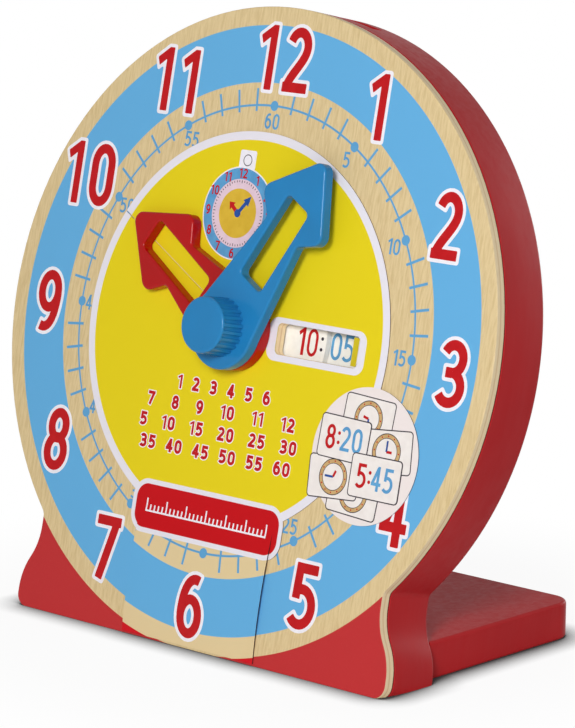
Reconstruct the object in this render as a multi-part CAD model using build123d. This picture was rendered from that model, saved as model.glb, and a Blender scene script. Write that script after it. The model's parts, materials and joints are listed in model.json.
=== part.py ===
from build123d import *
import os
from math import cos, radians, sin, sqrt, tan

os.makedirs("parts", exist_ok=True)

# A wooden teaching clock that stands on its foot and leans back. Each hand turns its own
# number disc inside the case, and both discs are read through one window in the face.
# Lengths are in millimetres and angles in degrees.

# Stance and outline of the case
lean_angle = 12.3            # the face leans back from the upright
outline_radius = 148.0
outline_floor_gap = 0.3      # from the round outline's lowest point to the foot's bottom edge
axis_height = outline_radius + outline_floor_gap
foot_neck_half_width = 106.8
foot_neck_length = 6.2       # straight part between the round outline and the flare
foot_flare_height = 8.0      # where the flare ends
foot_half_width = 116.0
foot_corner_radius = 6.0
neck_fillet = 5.0
foot_root_rise = 6.2         # how far the foot's block reaches up into the round part

# Face panel and case
face_thickness = 5.0
face_edge_round = 0.5
case_thickness = 29.0
case_front_bevel = 1.3       # leaves the dark line behind the panel
case_rear_round = 2.2
pocket_radius = 90.0         # round hollow for the discs
cover_ledge = 10.0           # width of the ledge that the rear cover sits on
cover_thickness = 4.0
cover_clearance = 0.3
cover_screw_count = 6

# Slot in the top of the case that holds the time cards
card_slot_width = 74.0
card_slot_gap = 7.5
card_slot_depth = 24.0
card_slot_setback = 11.0     # from the face panel's back to the slot's near wall

# Base board
board_half_width = 110.6
board_thickness = 17.5
board_reach = 143.2          # from the foot's bottom front edge back to the board's rear edge
board_corner_radius = 11.5
board_edge_round = 1.6
board_joint_share = 0.68     # height of the screws where they enter the board

# Window in the face
window_length = 49.6
window_height = 14.4
window_corner_radius = 2.6
window_centre_out = 47.75    # from the dial axis, towards the figure 3
window_centre_rise = -1.0

# Hands
hour_hand_turn = -57.5       # clockwise from upright
minute_hand_turn = 30.0
minute_apex_reach = 94.0     # to the arrow's sharp point, before it is rounded
minute_neck_reach = 54.0
hour_apex_reach = 85.3
hour_neck_reach = 45.0
hub_radius = 19.3
hand_root_half_width = 18.6
hand_root_reach = 5.0
neck_half_width = 11.8
barb_half_width = 23.2
barb_lead = 9.1              # how far the barb's tip lies ahead of the neck
apex_round = 4.5
barb_round = 5.0
neck_round = 2.6
hand_edge_round = 1.1
hand_wall = 2.0
hand_skin = 2.2
hour_hand_height = 5.8
minute_hand_height = 5.4
slot_width = 15.8
slot_length = 44.0
slot_root_reach = 25.2       # from the dial axis to the slot's near end
slot_corner_radius = 2.6

# Heights above the face, measured along the dial axis
bush_flange_thickness = 0.8
hour_hand_lift = 1.1
hand_gap = 0.6               # between the two hands, filled by a washer
running_gap = 0.1            # between flat faces that turn on each other

# Knob
knob_height = 13.1
knob_base_radius = 13.6
knob_front_radius = 12.9
knob_edge_round = 1.2
flute_count = 24
flute_radius = 1.1
flute_depth = 1.25
flute_stop = 1.0             # flutes end this far behind the knob's front
knob_wall = 2.4
knob_skin = 2.4
knob_socket_radius = 6.4
knob_rib_thickness = 1.4
knob_rib_count = 4

# Shafts
sleeve_radius = 6.0
sleeve_flat = 5.2            # half the width across the sleeve's two flats
shaft_radius = 4.0
shaft_flat = 3.4
journal_radius = 3.0
journal_length = 5.0
running_fit = 0.05           # radial
shaft_in_knob = 8.6

# Bush in the face panel
bush_flange_radius = 15.0
bush_barrel_radius = 8.2
bush_tail = 0.6              # barrel stands out behind the panel

# Number discs
disc_face_gap = 1.5          # panel's back to the hour disc
hour_disc_radius = 47.0
hour_disc_thickness = 3.0
disc_gap = 0.7               # between the two discs
minute_disc_radius = 80.0
minute_disc_thickness = 3.2
number_ring_thickness = 0.2
hour_ring_inner_radius = 24.0
hour_ring_margin = 0.4
minute_ring_inner_radius = 44.0
minute_ring_outer_radius = 76.5
felt_width = 7.0
spacer_radius = 12.0

# Hub of the minute disc and rear bearing
hub_spigot_radius = 9.0
hub_flange_radius = 17.0
hub_flange_thickness = 2.6
hub_boss_radius = 9.0
hub_boss_length = 6.0
hub_screw_circle = 13.0
hub_screw_count = 3
set_screw_radius = 2.0
felt_thickness = 2.0
bearing_flange_radius = 16.0
bearing_flange_thickness = 2.5
bearing_boss_radius = 8.0
bearing_screw_circle = 12.0
bearing_screw_count = 3

# Fasteners
small_screw_radius = 1.2
small_screw_head_radius = 2.3
small_screw_head_height = 1.1
small_screw_length = 5.2
cover_screw_radius = 1.6
cover_screw_head_radius = 3.2
cover_screw_head_height = 1.7
cover_screw_length = 16.0
base_screw_radius = 2.4
base_screw_head_radius = 4.6
base_screw_head_height = 2.6
base_screw_length = 60.0
base_screw_spacing = 70.0
base_screw_count = 3
base_dowel_radius = 4.0
base_dowel_length = 34.0
base_dowel_in_case = 16.0
panel_dowel_radius = 3.0
panel_dowel_in_panel = 3.0
panel_dowel_in_case = 9.0
panel_dowel_circle = 122.0
panel_dowel_angle = 40.0     # first dowel, from upright
panel_dowel_count = 4

# Display card
card_thickness = 0.5
card_radius = 92.2
card_shift_x = -3.0          # the card hangs a little off centre
card_shift_y = -1.8
card_bump_radius = 30.6
card_bump_x = 85.0
card_bump_y = -45.4
card_plaque_length = 94.0
card_plaque_height = 25.0
card_plaque_corner = 9.0
card_plaque_y = -88.0
card_band_half_width = 41.4
card_band_x = -2.8
card_band_bow = 1.5          # the band stands off the face between its ends
card_floor_gap = 1.0
card_hub_gap = 0.6           # between the hub hole and the bush's flange
card_slit_width = 0.6
card_slit_turn = -61.0
flap_reach = 6.4
flap_angle = 24.0            # the folded flap dips into the window
flap_side_gap = 0.8

overrun = 20.0               # cuts run this far past what they cut

# Worked out from the sizes above
total_thickness = face_thickness + case_thickness
cover_radius = pocket_radius + cover_ledge
hour_hand_top = hour_hand_lift + hour_hand_height
minute_hand_base = hour_hand_top + hand_gap
minute_hand_top = minute_hand_base + minute_hand_height
hour_disc_front = -(face_thickness + disc_face_gap)
hour_disc_back = hour_disc_front - hour_disc_thickness
minute_disc_front = hour_disc_back - disc_gap
minute_disc_back = minute_disc_front - minute_disc_thickness
hub_boss_end = minute_disc_back - hub_flange_thickness - hub_boss_length
cover_inside = -(total_thickness - cover_thickness)
card_front_reach = card_thickness * cos(radians(lean_angle)) - card_floor_gap * sin(radians(lean_angle))
overall_depth = board_reach + card_front_reach
foot_edge_y = card_front_reach - overall_depth / 2
dial_y = foot_edge_y + axis_height * sin(radians(lean_angle))
dial_z = axis_height * cos(radians(lean_angle))

# Drawings lie in the face's plane, x to the right, y up, z out towards the reader
dial_place = Location((0, dial_y, dial_z), (90 - lean_angle, 0, 0))


def ring(outer, inner, low, high):
    plate = Circle(outer) - Circle(inner) if inner else Circle(outer)
    return Pos(0, 0, low) * extrude(plate, high - low)


def keyed_bore(radius, flat):
    return Circle(radius) & Rectangle(2 * flat, 2 * radius + overrun)


def countersunk(radius, head_radius, head_height, length):
    profile = Polyline((0, 0), (head_radius, 0), (radius, -head_height), (radius, radius - length),
                       (0, -length), close=True)
    return revolve(make_face(Plane.XZ * profile), Axis.Z)


def on_circle(shape, radius, count, first_turn=0):
    copies = []
    for number in range(count):
        turn = first_turn + number * 360 / count
        copies.append(Rot(0, 0, -turn) * Pos(0, radius, 0) * shape)
    return copies


def floor_cut(shape):
    reach = outline_radius + overrun
    under = Pos(0, 0, -reach) * Box(2 * reach, 2 * reach, 2 * reach)
    return (dial_place * shape) - under


# Outline of panel and case
def case_outline():
    bottom = -axis_height
    neck_top = -sqrt(outline_radius ** 2 - foot_neck_half_width ** 2)
    root = (foot_neck_half_width, neck_top + foot_root_rise)
    neck = (foot_neck_half_width, neck_top - foot_neck_length)
    wide = (foot_half_width, bottom + foot_flare_height)
    middle = ((neck[0] + wide[0]) / 2, (neck[1] + wide[1]) / 2)
    flare_out = TangentArc(neck, middle, tangent=(0, -1))
    flare_in = TangentArc(middle, wide, tangent=flare_out % 1)
    half = [
        Line((0, root[1]), root),
        Line(root, neck),
        flare_out,
        flare_in,
        Line(wide, (foot_half_width, bottom)),
        Line((foot_half_width, bottom), (0, bottom)),
        Line((0, bottom), (0, root[1])),
    ]
    foot_half = make_face(half)
    foot = foot_half + mirror(foot_half, about=Plane.YZ)
    corners = foot.vertices().group_by(Axis.Y)[0].filter_by(lambda v: abs(v.X) > foot_neck_half_width)
    foot = fillet(corners, foot_corner_radius)
    outline = Circle(outline_radius) + foot
    joints = outline.vertices().filter_by(lambda v: v.Y < 0).sort_by(Axis.Y)[-2:]
    return fillet(joints, neck_fillet)


def window_shape():
    return Pos(window_centre_out, window_centre_rise) * RectangleRounded(window_length, window_height,
                                                                         window_corner_radius)


def panel_dowels():
    length = panel_dowel_in_panel + panel_dowel_in_case
    pin = Pos(0, 0, panel_dowel_in_panel - face_thickness) * extrude(Circle(panel_dowel_radius), -length)
    return on_circle(pin, panel_dowel_circle, panel_dowel_count, panel_dowel_angle)


def joint_places():
    # Height on the face at which a line square to it meets the board's front end
    entry = board_thickness * board_joint_share + total_thickness * sin(radians(lean_angle))
    height = entry / cos(radians(lean_angle)) - axis_height
    first = -base_screw_spacing * (base_screw_count - 1) / 2
    screws = [(first + number * base_screw_spacing, height) for number in range(base_screw_count)]
    dowels = [(x + base_screw_spacing / 2, height) for x, y in screws[:-1]]
    return screws, dowels


def base_screws():
    screw = countersunk(base_screw_radius, base_screw_head_radius, base_screw_head_height, base_screw_length)
    return [Pos(x, y, -face_thickness) * screw for x, y in joint_places()[0]]


def base_dowels():
    start = -(total_thickness - base_dowel_in_case)
    pin = extrude(Circle(base_dowel_radius), -base_dowel_length)
    return [Pos(x, y, start) * pin for x, y in joint_places()[1]]


def cover_screws():
    screw = Rot(180, 0, 0) * countersunk(cover_screw_radius, cover_screw_head_radius,
                                         cover_screw_head_height, cover_screw_length)
    screw = Pos(0, 0, -total_thickness) * screw
    return on_circle(screw, pocket_radius + cover_ledge / 2, cover_screw_count)


def face_panel():
    panel = extrude(case_outline(), -face_thickness)
    front = panel.faces().sort_by(Axis.Z)[-1]
    panel = fillet(front.outer_wire().edges(), face_edge_round)
    panel -= extrude(window_shape(), -face_thickness)
    panel -= extrude(Circle(bush_barrel_radius), -face_thickness)
    panel -= panel_dowels()
    return floor_cut(panel)


def card_slot():
    near = -(face_thickness + card_slot_setback)
    low = outline_radius - card_slot_depth
    slot = Pos(0, low + (card_slot_depth + overrun) / 2, near - card_slot_gap / 2) * Box(
        card_slot_width, card_slot_depth + overrun, card_slot_gap)
    return slot


def case_body():
    body = Pos(0, 0, -face_thickness) * extrude(case_outline(), -case_thickness)
    front = body.faces().sort_by(Axis.Z)[-1]
    body = chamfer(front.outer_wire().edges(), case_front_bevel)
    back = body.faces().sort_by(Axis.Z)[0]
    body = fillet(back.outer_wire().edges(), case_rear_round)
    body -= ring(pocket_radius, 0, -total_thickness, -face_thickness)
    body -= ring(cover_radius, 0, -total_thickness, cover_inside)
    body -= card_slot()
    body -= panel_dowels()
    body -= base_screws()
    body -= base_dowels()
    body -= cover_screws()
    return floor_cut(body)


def rear_cover():
    cover = ring(cover_radius - cover_clearance, 0, -total_thickness, cover_inside)
    cover -= cover_screws()
    cover -= bearing_screws()
    return cover


def base_board():
    depth = board_reach - total_thickness / 2
    middle = foot_edge_y + board_reach - depth / 2
    board = Pos(0, middle, board_thickness / 2) * Box(2 * board_half_width, depth, board_thickness)
    corners = board.edges().filter_by(Axis.Z).group_by(Axis.Y)[-1]
    board = fillet(corners, board_corner_radius)
    top = board.faces().sort_by(Axis.Z)[-1].edges()
    bottom = board.faces().sort_by(Axis.Z)[0].edges()
    front_y = board.edges().sort_by(Axis.Y)[0].center().Y
    rim = (top + bottom).filter_by(lambda e: e.center().Y > front_y)
    board = fillet(rim, board_edge_round)
    reach = outline_radius + overrun
    ahead = dial_place * Pos(0, 0, reach - total_thickness) * Box(2 * reach, 4 * reach, 2 * reach)
    board -= ahead
    for pin in base_screws() + base_dowels():
        board -= dial_place * pin
    return board


# Hands
def hand_outline(apex, neck):
    barb = neck + barb_lead
    half = Polyline(
        (0, hand_root_reach), (hand_root_half_width, hand_root_reach), (neck_half_width, neck),
        (barb_half_width, barb), (0, apex), close=True)
    half_face = make_face(half)
    arrow = half_face + mirror(half_face, about=Plane.YZ)
    arrow = fillet(arrow.vertices().sort_by(Axis.Y)[-5:-3], neck_round)
    arrow = fillet(arrow.vertices().sort_by(Axis.Y)[-3:-1], barb_round)
    arrow = fillet(arrow.vertices().sort_by(Axis.Y)[-1:], apex_round)
    return Circle(hub_radius) + arrow


def hand_slot(margin=0):
    slot = RectangleRounded(slot_width + 2 * margin, slot_length + 2 * margin,
                            slot_corner_radius + margin)
    return Pos(0, slot_root_reach + slot_length / 2) * slot


def moulded_hand(apex, neck, height, bore):
    outline = hand_outline(apex, neck)
    hand = extrude(outline - hand_slot(), height)
    hand = fillet(hand.faces().sort_by(Axis.Z)[-1].edges(), hand_edge_round)
    hollow = offset(outline, amount=-hand_wall, kind=Kind.INTERSECTION)
    hollow -= hand_slot(hand_wall)
    hollow -= Circle(bush_flange_radius - hand_wall)
    hand -= extrude(hollow, height - hand_skin)
    return hand - extrude(bore, height)


def hour_hand():
    hand = moulded_hand(hour_apex_reach, hour_neck_reach, hour_hand_height,
                        keyed_bore(sleeve_radius, sleeve_flat))
    return Rot(0, 0, -hour_hand_turn) * Pos(0, 0, hour_hand_lift) * hand


def minute_hand():
    hand = moulded_hand(minute_apex_reach, minute_neck_reach, minute_hand_height,
                        keyed_bore(shaft_radius, shaft_flat))
    return Rot(0, 0, -minute_hand_turn) * Pos(0, 0, minute_hand_base) * hand


def knob():
    body = Pos(0, 0, knob_height / 2) * Cone(knob_base_radius, knob_front_radius, knob_height)
    body = fillet(body.faces().sort_by(Axis.Z)[-1].edges(), knob_edge_round)
    flute = Pos(0, 0, -overrun) * extrude(Circle(flute_radius), overrun + knob_height - flute_stop)
    body -= on_circle(flute, knob_base_radius + flute_radius - flute_depth, flute_count)
    depth = knob_height - knob_skin
    hollow_radius = knob_front_radius - knob_wall
    body -= extrude(Circle(hollow_radius) - Circle(knob_socket_radius), depth)
    rib = Pos(0, (knob_socket_radius + hollow_radius) / 2, depth / 2) * Box(
        knob_rib_thickness, hollow_radius - knob_socket_radius + knob_rib_thickness, depth)
    body += on_circle(rib, 0, knob_rib_count)
    body -= extrude(keyed_bore(shaft_radius, shaft_flat), shaft_in_knob)
    return Rot(0, 0, -minute_hand_turn) * Pos(0, 0, minute_hand_top) * body


# Shafts and their fittings
def flats(radius, flat, low, high):
    side = Pos(flat + radius, 0, (low + high) / 2) * Box(2 * radius, 4 * radius, high - low)
    return [side, mirror(side, about=Plane.YZ)]


def hour_sleeve():
    tube = ring(sleeve_radius, shaft_radius + running_fit, hour_disc_back, hour_hand_top)
    tube -= flats(sleeve_radius, sleeve_flat, hour_hand_lift, hour_hand_top)
    tube = Rot(0, 0, -hour_hand_turn) * tube
    return tube - flats(sleeve_radius, sleeve_flat, hour_disc_back, hour_disc_front)


def minute_shaft():
    shaft = ring(shaft_radius, 0, hub_boss_end, minute_hand_top + shaft_in_knob)
    shaft -= flats(shaft_radius, shaft_flat, minute_hand_base, minute_hand_top + shaft_in_knob)
    shaft = Rot(0, 0, -minute_hand_turn) * shaft
    shaft -= flats(shaft_radius, shaft_flat, hub_boss_end, minute_disc_front)
    return shaft + ring(journal_radius, 0, hub_boss_end - felt_thickness - journal_length, hub_boss_end)


def face_bush():
    barrel = ring(bush_barrel_radius, sleeve_radius + running_fit, -(face_thickness + bush_tail), 0)
    return barrel + ring(bush_flange_radius, sleeve_radius + running_fit, 0, bush_flange_thickness)


def washers():
    washer_bore = shaft_radius + running_fit
    felt_bore = bush_barrel_radius + running_gap
    return {
        "hand_washer": ring(knob_base_radius, washer_bore, hour_hand_top + running_gap, minute_hand_base),
        "hour_felt_washer": ring(felt_bore + felt_width, felt_bore, hour_disc_front + running_gap,
                                 -face_thickness),
        "disc_spacer": ring(spacer_radius, washer_bore, minute_disc_front, hour_disc_back - running_gap),
        "rear_felt_washer": ring(hub_boss_radius, journal_radius + running_fit,
                                 hub_boss_end - felt_thickness + running_gap, hub_boss_end),
    }


# Number discs
def hour_disc():
    disc = ring(hour_disc_radius, 0, hour_disc_back, hour_disc_front)
    return disc - Pos(0, 0, hour_disc_back) * extrude(keyed_bore(sleeve_radius, sleeve_flat),
                                                      hour_disc_thickness)


def hour_number_ring():
    return ring(hour_disc_radius - hour_ring_margin, hour_ring_inner_radius, hour_disc_front,
                hour_disc_front + number_ring_thickness)


def hub_screws():
    screw = Rot(180, 0, 0) * countersunk(small_screw_radius, small_screw_head_radius,
                                         small_screw_head_height, small_screw_length)
    screw = Pos(0, 0, minute_disc_back - hub_flange_thickness) * screw
    return on_circle(screw, hub_screw_circle, hub_screw_count)


def minute_disc():
    disc = ring(minute_disc_radius, hub_spigot_radius, minute_disc_back, minute_disc_front)
    return disc - hub_screws()


def minute_number_ring():
    return ring(minute_ring_outer_radius, minute_ring_inner_radius, minute_disc_front,
                minute_disc_front + number_ring_thickness)


def hub_set_screw():
    middle = hub_boss_end + hub_boss_length / 2
    pin = Pos(shaft_flat, 0, middle) * Rot(0, 90, 0) * extrude(Circle(set_screw_radius),
                                                               hub_boss_radius - shaft_flat)
    return pin & ring(hub_boss_radius, 0, hub_boss_end, minute_disc_back)


def minute_disc_hub():
    hub = ring(hub_boss_radius, 0, hub_boss_end, minute_disc_back)
    hub += ring(hub_flange_radius, 0, minute_disc_back - hub_flange_thickness, minute_disc_back)
    hub += ring(hub_spigot_radius, 0, minute_disc_back, minute_disc_front)
    hub -= Pos(0, 0, hub_boss_end) * extrude(keyed_bore(shaft_radius, shaft_flat),
                                            minute_disc_front - hub_boss_end)
    return hub - hub_screws() - hub_set_screw()


def bearing_screws():
    screw = Pos(0, 0, cover_inside + bearing_flange_thickness) * countersunk(
        small_screw_radius, small_screw_head_radius, small_screw_head_height, small_screw_length)
    return on_circle(screw, bearing_screw_circle, bearing_screw_count)


def rear_bearing():
    bearing = ring(bearing_flange_radius, 0, cover_inside, cover_inside + bearing_flange_thickness)
    bearing += ring(bearing_boss_radius, 0, cover_inside, hub_boss_end - felt_thickness)
    bearing -= ring(journal_radius + running_fit, 0, cover_inside, hub_boss_end)
    return bearing - bearing_screws()


# Display card
def card_outline():
    outline = Pos(card_shift_x, card_shift_y) * Circle(card_radius)
    outline += Pos(card_bump_x, card_bump_y) * Circle(card_bump_radius)
    plaque = RectangleRounded(card_plaque_length, card_plaque_height, card_plaque_corner)
    outline += Pos(card_band_x, card_plaque_y) * plaque
    outline -= Circle(bush_flange_radius + card_hub_gap)
    outline -= window_shape()
    slit = Pos(0, card_radius) * Rectangle(card_slit_width, 2 * card_radius)
    return outline - Rot(0, 0, -card_slit_turn) * slit


def card_band():
    # Side view of the band: an arc that stands off the face between the plaque and the floor
    top = card_plaque_y
    bottom = -axis_height + card_floor_gap
    middle = (top + bottom) / 2
    inner = ThreePointArc((top, 0), (middle, card_band_bow), (bottom, 0))
    outer = ThreePointArc((bottom, card_thickness), (middle, card_band_bow + card_thickness),
                          (top, card_thickness))
    ends = [Line((bottom, 0), (bottom, card_thickness)), Line((top, card_thickness), (top, 0))]
    side = make_face([inner, ends[0], outer, ends[1]])
    side_plane = Plane(origin=(card_band_x - card_band_half_width, 0, 0), x_dir=(0, 1, 0), z_dir=(1, 0, 0))
    return extrude(side_plane * side, 2 * card_band_half_width)


def card_flap():
    # The die-cut piece of the window, folded in along the window's outer end
    bend = radians(flap_angle)
    drop = flap_reach * sin(bend)
    end = -flap_reach * cos(bend)
    side = make_face(Polyline(
        (0, 0), (0, card_thickness), (-card_thickness * tan(bend / 2), card_thickness),
        (end - card_thickness * sin(bend), card_thickness * cos(bend) - drop), (end, -drop), close=True))
    width = window_height - 2 * flap_side_gap
    fold = (window_centre_out + window_length / 2, window_centre_rise + width / 2, 0)
    flap = extrude(Plane(origin=fold, x_dir=(1, 0, 0), z_dir=(0, -1, 0)) * side, width)
    room = Pos(window_centre_out, window_centre_rise) * RectangleRounded(window_length, width,
                                                                         window_corner_radius)
    return flap & Pos(0, 0, -face_thickness) * extrude(room, 2 * face_thickness)


def display_card():
    card = extrude(card_outline(), card_thickness)
    return card + card_band() + card_flap()


placed_by_dial = {
    "rear_cover": rear_cover(),
    "cover_screws": Compound(children=cover_screws()),
    "base_screws": Compound(children=base_screws()),
    "base_dowels": Compound(children=base_dowels()),
    "panel_dowels": Compound(children=panel_dowels()),
    "face_bush": face_bush(),
    "rear_bearing": rear_bearing(),
    "bearing_screws": Compound(children=bearing_screws()),
    "display_card": display_card(),
    "hour_hand": hour_hand(),
    "hour_sleeve": hour_sleeve(),
    "hour_disc": hour_disc(),
    "hour_number_ring": hour_number_ring(),
    "minute_hand": minute_hand(),
    "knob": knob(),
    "minute_shaft": minute_shaft(),
    "minute_disc": minute_disc(),
    "minute_number_ring": minute_number_ring(),
    "minute_disc_hub": minute_disc_hub(),
    "hub_screws": Compound(children=hub_screws()),
    "hub_set_screw": hub_set_screw(),
}
placed_by_dial.update(washers())

pieces = {name: dial_place * shape for name, shape in placed_by_dial.items()}
pieces["face_panel"] = face_panel()
pieces["case_body"] = case_body()
pieces["base_board"] = base_board()

for name, shape in pieces.items():
    shape.label = name
    export_step(shape, f"parts/{name}.step")
    print(name, len(shape.solids()), "solid", round(shape.volume), "mm3")
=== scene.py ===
import json
from math import atan2, cos, degrees, hypot, pi, radians, sin

import bpy
from mathutils import Euler, Matrix, Vector


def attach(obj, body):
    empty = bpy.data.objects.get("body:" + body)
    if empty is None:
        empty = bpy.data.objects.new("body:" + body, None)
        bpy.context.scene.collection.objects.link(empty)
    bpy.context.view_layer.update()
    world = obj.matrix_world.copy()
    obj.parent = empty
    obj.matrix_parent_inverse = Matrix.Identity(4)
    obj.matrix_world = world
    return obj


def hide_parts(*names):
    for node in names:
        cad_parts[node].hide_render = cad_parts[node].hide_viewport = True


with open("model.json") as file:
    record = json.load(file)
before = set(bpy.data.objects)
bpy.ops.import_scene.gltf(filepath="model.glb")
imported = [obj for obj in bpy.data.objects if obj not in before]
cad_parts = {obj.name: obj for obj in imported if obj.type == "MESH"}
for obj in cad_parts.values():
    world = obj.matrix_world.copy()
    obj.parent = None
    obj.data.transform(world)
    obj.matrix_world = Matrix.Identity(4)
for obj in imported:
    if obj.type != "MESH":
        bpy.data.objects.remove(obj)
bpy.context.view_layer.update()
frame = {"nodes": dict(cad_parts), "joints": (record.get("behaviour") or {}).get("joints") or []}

mm = 0.001

# The dial's place, read from the joint that both hands turn on:
# drawings have x to the reader's right, y up the face and z out of it, in millimetres
turnJoint = frame["joints"][0]
dialCentre = Vector(turnJoint["pos_m"])
outOfFace = -Vector(turnJoint["axis"]).normalized()
dialTurn = Euler((outOfFace.angle(Vector((0, 0, 1))), 0, 0))
dialPlace = Matrix.LocRotScale(dialCentre, dialTurn, (mm, mm, mm))
print("frame loaded, dial centre at", [round(value, 4) for value in dialCentre])


def tone(red, green, blue):
    # A colour as a paint chart gives it, 0 to 255, made linear
    def linear(value):
        value = value / 255
        return value / 12.92 if value <= 0.04045 else ((value + 0.055) / 1.055) ** 2.4
    return (linear(red), linear(green), linear(blue), 1)


def pick(*objs):
    for obj in bpy.context.selected_objects:
        obj.select_set(False)
    for obj in objs:
        obj.select_set(True)
    bpy.context.view_layer.objects.active = objs[0]


# Node helpers
def feed(tree, socket, value):
    if isinstance(value, bpy.types.NodeSocket):
        tree.links.new(value, socket)
    else:
        socket.default_value = value


def addNode(tree, kind, inputs=None, **settings):
    node = tree.nodes.new("ShaderNode" + kind)
    for name, value in settings.items():
        setattr(node, name, value)
    for name, value in (inputs or {}).items():
        feed(tree, node.inputs[name], value)
    return node


def calc(tree, operation, *values):
    node = addNode(tree, "Math", operation=operation)
    for socket, value in zip(node.inputs, values):
        feed(tree, socket, value)
    return node.outputs[0]


def ramp(tree, value, start, end, low=0.0, high=1.0):
    node = addNode(tree, "MapRange", {"Value": value, "From Min": start, "From Max": end,
                                      "To Min": low, "To Max": high},
                   interpolation_type="SMOOTHSTEP")
    return node.outputs["Result"]


def within(tree, value, low, high, soft=0.12):
    return calc(tree, "MULTIPLY", ramp(tree, value, low - soft, low + soft),
                ramp(tree, value, high + soft, high - soft))


def blendTone(tree, share, first, second):
    node = addNode(tree, "Mix", data_type="RGBA")
    for name, value in (("Factor_Float", share), ("A_Color", first), ("B_Color", second)):
        feed(tree, next(s for s in node.inputs if s.identifier == name), value)
    return next(s for s in node.outputs if s.identifier == "Result_Color")


def newGroup(name, inputs, outputs):
    group = bpy.data.node_groups.new(name, "ShaderNodeTree")
    for way, sockets in (("INPUT", inputs), ("OUTPUT", outputs)):
        for socketName, kind, *value in sockets:
            socket = group.interface.new_socket(socketName, in_out=way,
                                                socket_type="NodeSocket" + kind)
            if value:
                socket.default_value = value[0]
    return group, group.nodes.new("NodeGroupInput").outputs, group.nodes.new("NodeGroupOutput")


def putOut(group, out, values):
    for name, value in values.items():
        group.links.new(value, out.inputs[name])
    return group


def useGroup(tree, group, inputs=None):
    return addNode(tree, "Group", inputs, node_tree=group).outputs


def newMaterial(name, roughness, specular, coat=0.0):
    material = bpy.data.materials.new(name)
    material.use_nodes = True
    tree = material.node_tree
    surface = tree.nodes["Principled BSDF"]
    surface.inputs["Roughness"].default_value = roughness
    surface.inputs["Specular IOR Level"].default_value = specular
    surface.inputs["Coat Weight"].default_value = coat
    surface.inputs["Coat Roughness"].default_value = 0.15
    return material, tree, surface


noiseSpan = 0.3, 0.7                 # the values that nearly all of a noise lies between


def finish(made, colour, height, depth, roughness=None):
    # Gives a new material its colour, its bump and, where it varies, its roughness
    material, tree, surface = made
    bump = addNode(tree, "Bump", {"Height": height, "Distance": depth})
    for name, value in (("Base Color", colour), ("Normal", bump.outputs[0]),
                        ("Roughness", roughness)):
        if value:
            tree.links.new(value, surface.inputs[name])
    return material


# Camera
cameraSet = {
    "azimuth": radians(42.345),      # round to the reader's right of the clock
    "elevation": radians(11.24),
    "roll": radians(0.54),
    "distance": 1.6345,
    "aim": (0.01812, -0.02747, 0.12959),
    "sensor": 36,                    # along the picture's height
    "lens": 177.5,
    "clip": (0.01, 60),
}


def makeCamera(settings):
    azimuth, elevation = settings["azimuth"], settings["elevation"]
    back = Vector((sin(azimuth) * cos(elevation), -cos(azimuth) * cos(elevation), sin(elevation)))
    bpy.ops.object.camera_add()
    camera = bpy.context.object
    camera.name = "photoCamera"
    camera.data.sensor_width = settings["sensor"]
    camera.data.lens = settings["lens"]
    camera.location = Vector(settings["aim"]) + back * settings["distance"]
    camera.rotation_mode = "QUATERNION"
    camera.rotation_quaternion = (-back).to_track_quat("-Z", "Y") @ Matrix.Rotation(
        settings["roll"], 3, "Z").to_quaternion()
    camera.data.clip_start, camera.data.clip_end = settings["clip"]
    bpy.context.scene.camera = camera


makeCamera(cameraSet)
print("camera placed")

# Light and floor
lightSet = {
    "lamps": {
        "key": {"place": (0.78, -1.47, 0.8), "size": 0.5, "power": 21},
        "side": {"place": (1.05, -1.05, 0.4), "size": 0.15, "power": 1.2},
        "rear": {"place": (0.1, 1.5, 0.22), "size": 0.8, "power": 8},
    },
    "sky": 0.16,
}
floorSet = {
    "tone": tone(246, 246, 247), "size": 12, "roughness": 0.6, "specular": 0.25,
    "whiteFrom": 0.12,               # past here the floor fades into plain white
    "whiteTo": 0.26,
    "whiteShare": 0.93,              # nearer than that
    "shadowReach": 0.016,            # the dark line where the feet touch the floor
    "shadowFrom": 0.5,
    "shadowDark": 0.02,
}


def seenRays(tree):
    # 1 where the camera sees the place itself, in a reflection or through something clear
    path = addNode(tree, "LightPath").outputs
    seen = path["Is Camera Ray"]
    for name in ("Is Glossy Ray", "Is Transmission Ray"):
        seen = calc(tree, "MAXIMUM", seen, path[name])
    return seen


def mixShaders(tree, share, first, second, end):
    mix = addNode(tree, "MixShader", {0: share, 1: first.outputs[0], 2: second.outputs[0]})
    tree.links.new(mix.outputs[0], tree.nodes[end].inputs["Surface"])


def makeLight(settings):
    for name, lamp in settings["lamps"].items():
        bpy.ops.object.light_add(type="AREA", location=lamp["place"])
        light = bpy.context.object
        light.name = name + "Light"
        light.data.shape = "DISK"
        light.data.size = lamp["size"]
        light.data.energy = lamp["power"]
        light.rotation_mode = "QUATERNION"
        light.rotation_quaternion = (dialCentre - light.location).to_track_quat("-Z", "Y")
    world = bpy.data.worlds.new("softRoom")
    bpy.context.scene.world = world
    world.use_nodes = True
    tree = world.node_tree
    plain = tree.nodes["Background"]
    plain.inputs["Color"].default_value = (1, 1, 1, 1)
    plain.inputs["Strength"].default_value = settings["sky"]
    mixShaders(tree, seenRays(tree), plain, addNode(tree, "Background"), "World Output")


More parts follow.
